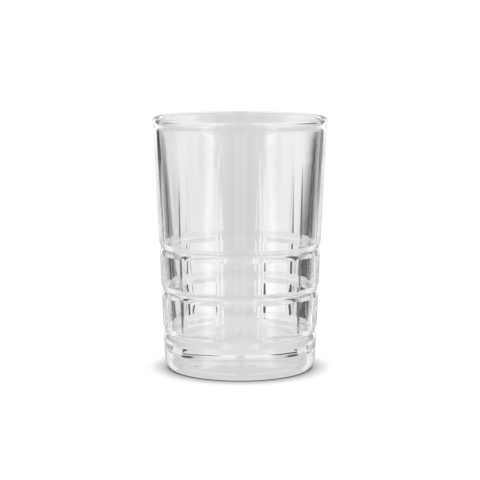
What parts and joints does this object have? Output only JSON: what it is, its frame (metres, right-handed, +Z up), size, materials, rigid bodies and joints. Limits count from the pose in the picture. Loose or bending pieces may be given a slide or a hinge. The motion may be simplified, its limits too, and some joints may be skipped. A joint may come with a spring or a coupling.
{
  "type": "cortado glass",
  "caption": "Small clear pressed-glass tumbler for a cortado, with a slightly flared wall, ring-cut panels, upright flutes and a thick solid base.",
  "frame": {"origin": "centre of the foot's resting plane, on the glass's own axis", "axes": "+Z up along the axis through the open mouth; -Y is the front, the side that the picture shows"},
  "size_m": [0.0619, 0.0618, 0.09],
  "materials": {
    "clear_glass": "clear colourless soda-lime glass, pressed and fire polished"
  },
  "bodies": {
    "root": {"tumbler": "clear_glass"}
  },
  "joints": []
}
